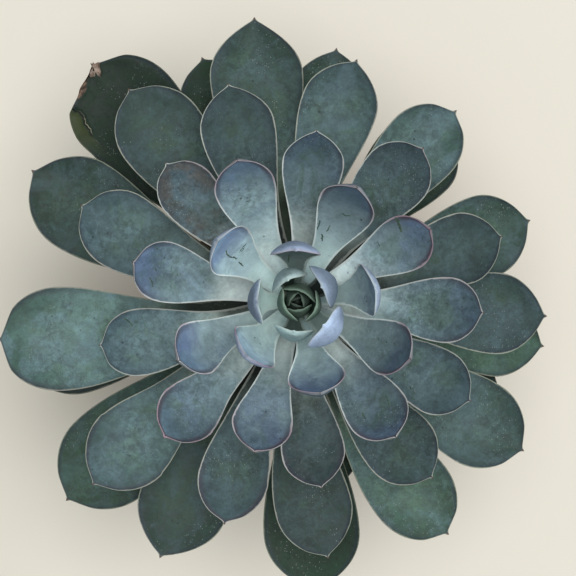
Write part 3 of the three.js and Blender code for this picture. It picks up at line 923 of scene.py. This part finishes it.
def buildBud():
    f = budForm
    low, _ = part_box("bud")
    base = low.z / mm
    bm = bmesh.new()
    around, along = f["coreSteps"]
    bmesh.ops.create_uvsphere(bm, u_segments=around, v_segments=along, radius=1)
    coreSize = Vector((f["coreRadius"], f["coreRadius"], f["coreHeight"])) * mm
    bmesh.ops.scale(bm, vec=coreSize, verts=bm.verts)
    bmesh.ops.translate(bm, vec=Vector((0, 0, (base + f["coreHeight"]) * mm)), verts=bm.verts)
    core = bpy.data.meshes.new("budCore")
    bm.to_mesh(core)
    bm.clear()
    # the core deep in the bud is painted dark, as painted shade
    storeSteady(core, {"leafAlong": 0.2, "leafAcross": 0, "leafEdge": 9, "leafUpper": 1, "leafWound": 0,
                       "leafAge": 0, "leafSeed": 0.3, "leafSlit": 9, "leafToneAndShade": 0.15, "leafBrown": 0,
                       "leafBlush": 0})
    bm.from_mesh(core)
    bpy.data.meshes.remove(core)
    for number, (degrees, reach, width, rise) in enumerate(f["leaflets"]):
        angle = math.radians(degrees)
        out = np.array([math.cos(angle), math.sin(angle), 0])
        root = out * f["rootRadius"] + np.array([0, 0, base + f["seat"]])
        tip = out * reach + np.array([0, 0, base + f["seat"] + rise])
        place = {"root": root, "tip": tip, "angle": angle, "width": width}
        # painted shade: the inner leaflets are darker
        toneAndShade = 1 - f["leafletShade"] * number
        habit = {"sag": f["sag"], "cup": f["cupShare"] * width, "thickness": f["thickness"], "roll": 0,
                 "bend": 0, "taper": f["taper"], "torn": False, "waist": 0, "bodyEnd": f["bodyEndAlong"],
                 "toneAndShade": toneAndShade, "footTone": 1, "backLightAndShade": toneAndShade, "brown": 0, "blush": 0}
        leaflet = growLeaf("budLeaflet", place, habit, 0, f["firstSeed"] + number, blank)
        bm.from_mesh(leaflet)
        bpy.data.meshes.remove(leaflet)
    return meshFrom(bm, "budHeart", smooth=True)


addPiece("budHeart", buildBud(), leafSkin, slotOf["bud"], "bud")
print("bud built")

# Stem: thick, with a spiral of leaf scars under the lowest leaves
stemForm = {
    "radius": 7,
    "apexRadius": 2.6,
    "fade": 9,
    "around": 72,
    "rows": 110,
    "clearance": 0.2,        # inside its node's skin
    "ripple": 0.12,
    "scarsFrom": 62,         # height of the lowest
    "scarsTo": oldestRoot + 2,
    "scarTurn": 138.2,
    "scarSpacing": 0.9,
    "scarHalf": (3.4, 1.1),
    "scarDepth": 0.5,
}


def stemRadiusAt(height):
    f = stemForm
    rank = np.maximum(0, oldestLeaf - (height - oldestRoot) / rootSpacing)
    return f["apexRadius"] + (f["radius"] - f["apexRadius"]) * (1 - np.exp(-rank / f["fade"]))


def buildStem():
    f = stemForm
    low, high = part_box("stem")
    bm = bmesh.new()
    bmesh.ops.create_uvsphere(bm, u_segments=f["around"], v_segments=f["rows"], radius=1)
    mesh = meshFrom(bm, "stemBody")
    co = np.empty(len(mesh.vertices) * 3)
    mesh.vertices.foreach_get("co", co)
    co = co.reshape(-1, 3)
    share = np.arccos(np.clip(-co[:, 2], -1, 1)) / np.pi
    turn = np.arctan2(co[:, 1], co[:, 0])
    bottom, top = low.z / mm, high.z / mm
    height = bottom + (top - bottom) * np.clip((share * f["rows"] - 1) / (f["rows"] - 2), 0, 1)
    atPole = (share < 1e-4) | (share > 1 - 1e-4)
    scar = np.zeros(len(co))
    halfWide, halfHigh = f["scarHalf"]
    for step, at in enumerate(np.arange(f["scarsFrom"], f["scarsTo"], f["scarSpacing"])):
        angle = math.radians(step * f["scarTurn"])
        sideways = (np.mod(turn - angle + math.pi, 2 * math.pi) - math.pi) * f["radius"] / halfWide
        upward = (height - at) / halfHigh
        scar = np.maximum(scar, np.clip(1.3 - np.abs(sideways) ** 1.6 - upward ** 2, 0, 1))
    ripple = f["ripple"] * np.sin(5 * turn + height * 0.7) * np.sin(height * 1.9)
    skin = stemRadiusAt(height) - f["clearance"] + np.minimum(ripple, f["clearance"] / 2)
    radius = np.where(atPole, 0, skin - f["scarDepth"] * scar)
    points = np.stack([radius * np.cos(turn), radius * np.sin(turn), height], axis=1)
    mesh.vertices.foreach_set("co", (points * mm).astype(np.float32).ravel())
    storeFact(mesh, "stemScar", scar * 0.8)
    mesh.shade_smooth()
    mesh.update()
    return mesh


addPiece("stemBody", buildStem(), barkMaterial(), "stem_bark", "stem")
print("stem built")


# A turned body from [radius, height] pairs in mm, the first and last on the axis
def turnedBody(profile, steps):
    bm = bmesh.new()
    corners = [bm.verts.new((radius * mm, 0, height * mm)) for radius, height in profile]
    for a, b in zip(corners, corners[1:]):
        bm.edges.new((a, b))
    bmesh.ops.spin(bm, geom=bm.verts[:] + bm.edges[:], axis=(0, 0, 1), cent=(0, 0, 0),
                   angle=2 * math.pi, steps=steps, use_merge=True)
    bmesh.ops.remove_doubles(bm, verts=bm.verts, dist=1e-6)
    bmesh.ops.recalc_face_normals(bm, faces=bm.faces)
    return bm


def roundEdges(bm, amount, segments, least=0.5):
    sharp = [e for e in bm.edges if len(e.link_faces) == 2 and e.calc_face_angle() > least]
    bmesh.ops.bevel(bm, geom=sharp, offset=amount, offset_type="OFFSET", affect="EDGES",
                    segments=segments, profile=0.5, material=-1)


# A place from its reach, turn and height, in mm
def placeAt(reach, turn, height=0):
    return Matrix.Translation(Vector((reach * math.cos(turn), reach * math.sin(turn), height)) * mm)


# Pot: a plain tapered clay pot with a rim band and three drain holes
potForm = {
    "height": 70,
    "footRadius": 27,
    "neckRadius": 35.5,
    "rimRadius": 40,
    "rimDrop": 18,
    "rimTaper": 1.2,
    "edgeRound": 1.1,
    "edgeSegments": 4,
    "creaseDegrees": 40,
    "wall": 4.5,
    "floor": 6,
    "drainRadius": 4,
    "drainReach": 15,
    "drains": 3,
    "steps": 96,
}


def innerWallAt(height):
    f = potForm
    shoulder = f["height"] - f["rimDrop"]
    return f["footRadius"] - f["wall"] + (f["neckRadius"] - f["footRadius"]) * height / shoulder


def buildPot():
    f = potForm
    shoulder = f["height"] - f["rimDrop"]
    bm = turnedBody([
        (0, 0), (f["footRadius"], 0), (f["neckRadius"], shoulder),
        (f["rimRadius"] - f["rimTaper"], shoulder),
        (f["rimRadius"], f["height"]), (innerWallAt(f["height"]), f["height"]),
        (innerWallAt(f["floor"]), f["floor"]), (0, f["floor"]),
    ], f["steps"])
    roundEdges(bm, f["edgeRound"] * mm, f["edgeSegments"])
    body = newObject("potRaw", meshFrom(bm, "potRaw"))
    cutters = []
    for i in range(f["drains"]):
        turn = 2 * math.pi * i / f["drains"] + math.pi / 2
        cut = bmesh.new()
        bmesh.ops.create_cone(cut, cap_ends=True, segments=32, radius1=f["drainRadius"] * mm,
                              radius2=f["drainRadius"] * mm, depth=4 * f["floor"] * mm,
                              matrix=placeAt(f["drainReach"], turn))
        cutter = newObject("potDrill", meshFrom(cut, "potDrill"))
        cutters.append(cutter)
        bore = body.modifiers.new("drain", "BOOLEAN")
        bore.operation = "DIFFERENCE"
        bore.solver = "EXACT"
        bore.object = cutter
    bpy.context.view_layer.update()
    made = bpy.data.meshes.new_from_object(body.evaluated_get(bpy.context.evaluated_depsgraph_get()))
    made.name = "potBody"
    for spare in [body] + cutters:
        bpy.data.objects.remove(spare)
    made.shade_smooth()
    made.set_sharp_from_angle(angle=math.radians(f["creaseDegrees"]))
    return made


addPiece("potBody", buildPot(), clayMaterial(), "pot_clay", "pot")
print("pot turned")

# Soil: an uneven surface with loose grit on it
soilForm = {
    "top": 61,
    "crown": 1.2,
    "gap": 0.3,
    "holeRadius": 7.3,
    "neckDepth": 6,          # of the wide part of the stem's hole
    "footHole": 5.8,
    "depth": 28,
    "rings": 10,
    "steps": 96,
    "roughness": 0.55,
    "grit": 420,
    "gritSize": (0.5, 1.3),
    "seed": 7,
}


def buildSoil():
    f = soilForm
    wall = innerWallAt(f["top"]) - f["gap"]
    floor = potForm["floor"] + f["gap"]
    rings = []
    for i in range(f["rings"] + 1):
        share = i / f["rings"]
        crown = f["crown"] * math.sin(share * math.pi / 2)
        rings.append((wall + (f["holeRadius"] - wall) * share, f["top"] + crown))
    outside = [(0, floor), (innerWallAt(floor) - f["gap"], floor)]
    hole = [(f["holeRadius"], f["top"] - f["neckDepth"]), (f["footHole"], f["top"] - f["depth"]),
            (0, f["top"] - f["depth"])]
    bm = turnedBody(outside + rings + hole, f["steps"])
    for v in bm.verts:
        x, y, z = v.co / mm
        far = math.hypot(x, y)
        if z > f["top"] - 1 and f["holeRadius"] + 0.5 < far < wall - 0.5:
            lumps = math.sin(1.9 * x + 0.7 * y) * math.sin(1.3 * y - 0.9 * x + 1)
            v.co.z += f["roughness"] * mm * lumps
    return meshFrom(bm, "soilBody", smooth=True)


def buildGrit(colorShare, name, seed):
    f = soilForm
    draw = random.Random(seed)
    wall = innerWallAt(f["top"]) - 2
    bm = bmesh.new()
    for _ in range(int(f["grit"] * colorShare)):
        size = draw.uniform(*f["gritSize"])
        far = math.sqrt(draw.uniform((f["holeRadius"] + 2) ** 2, wall ** 2))
        turn = draw.uniform(0, 2 * math.pi)
        height = f["top"] + f["crown"] * (1 - far / wall) + 0.25 * size
        turned = draw.uniform(0, 6.28)
        axis = Vector((draw.random(), draw.random(), 1)).normalized()
        size *= mm
        scale = Matrix.Diagonal((size, size * draw.uniform(0.6, 1), size * draw.uniform(0.5, 0.9), 1))
        lie = placeAt(far, turn, height) @ Matrix.Rotation(turned, 4, axis) @ scale
        bmesh.ops.create_icosphere(bm, subdivisions=1, radius=1, matrix=lie)
    return meshFrom(bm, name)


earth = crumblyMaterial("pottingSoil", soilLook["dark"], soilLook["light"], 420)
addPiece("soilBody", buildSoil(), earth, "potting_soil", "soil")
paleGrit = crumblyMaterial("paleGrit", soilLook["light"], soilLook["gritPale"], 500)
addPiece("soilGritPale", buildGrit(0.35, "soilGritPale", soilForm["seed"]), paleGrit,
         "potting_soil", "soil")
brownGrit = crumblyMaterial("brownGrit", soilLook["dark"], soilLook["gritBrown"], 600)
addPiece("soilGritBrown", buildGrit(0.65, "soilGritBrown", soilForm["seed"] + 1), brownGrit,
         "potting_soil", "soil")
print("soil filled")

# Stage: pale floor, soft light from above and a little from the upper right, camera straight above
stageLook = {
    "floorSize": 6.0,
    "floor": rgb(228, 223, 210),
    "sky": (0.97, 0.99, 1.0, 1),
    "skyStrength": 0.42,
    "aimHeight": 0.1,
    # place, width, power and colour of each soft light
    "lights": {
        "ceiling": ((0.2, 0.1, 2.4), 1.8, 35, (1.0, 0.995, 0.98)),
        "window": ((3.2, 0.8, 1.35), 1.8, 50, (0.94, 0.97, 1.0)),
    },
}
cameraView = {
    "budPixel": (297, 301),
    "imageSide": 576,
    "scale": 0.33,           # mm for each pixel at the height below
    "atHeight": 113,
    "distance": 600,
    "sensor": 36,
}


def buildStage():
    look = stageLook
    bm = bmesh.new()
    bmesh.ops.create_grid(bm, x_segments=1, y_segments=1, size=look["floorSize"] / 2)
    floor = newObject("floor", meshFrom(bm, "floor"))
    material, tree, shader = newMaterial("floorPaint")
    plug(tree, look["floor"], shader.inputs["Base Color"])
    shader.inputs["Roughness"].default_value = 0.8
    floor.data.materials.append(material)

    world = bpy.data.worlds.new("sky")
    world.use_nodes = True
    back = world.node_tree.nodes["Background"]
    back.inputs[0].default_value = look["sky"]
    back.inputs[1].default_value = look["skyStrength"]
    bpy.context.scene.world = world

    for name, (place, size, power, color) in look["lights"].items():
        data = bpy.data.lights.new(name, "AREA")
        data.shape = "DISK"
        data.size = size
        data.energy = power
        data.color = color
        lamp = newObject(name, data)
        lamp.location = place
        aim = Vector((0, 0, look["aimHeight"])) - lamp.location
        lamp.rotation_euler = aim.to_track_quat("-Z", "Y").to_euler()
    bpy.context.scene.view_settings.view_transform = "Standard"


def buildCamera():
    v = cameraView
    data = bpy.data.cameras.new("camera")
    data.sensor_width = v["sensor"]
    data.lens = v["sensor"] * v["distance"] / (v["scale"] * v["imageSide"])
    data.clip_start = 0.01
    data.clip_end = 10
    camera = newObject("camera", data)
    right = (v["imageSide"] / 2 - v["budPixel"][0]) * v["scale"]
    up = (v["budPixel"][1] - v["imageSide"] / 2) * v["scale"]
    camera.location = (right * mm, up * mm, (v["atHeight"] + v["distance"]) * mm)
    bpy.context.scene.camera = camera


buildStage()
buildCamera()
print("stage and camera set")
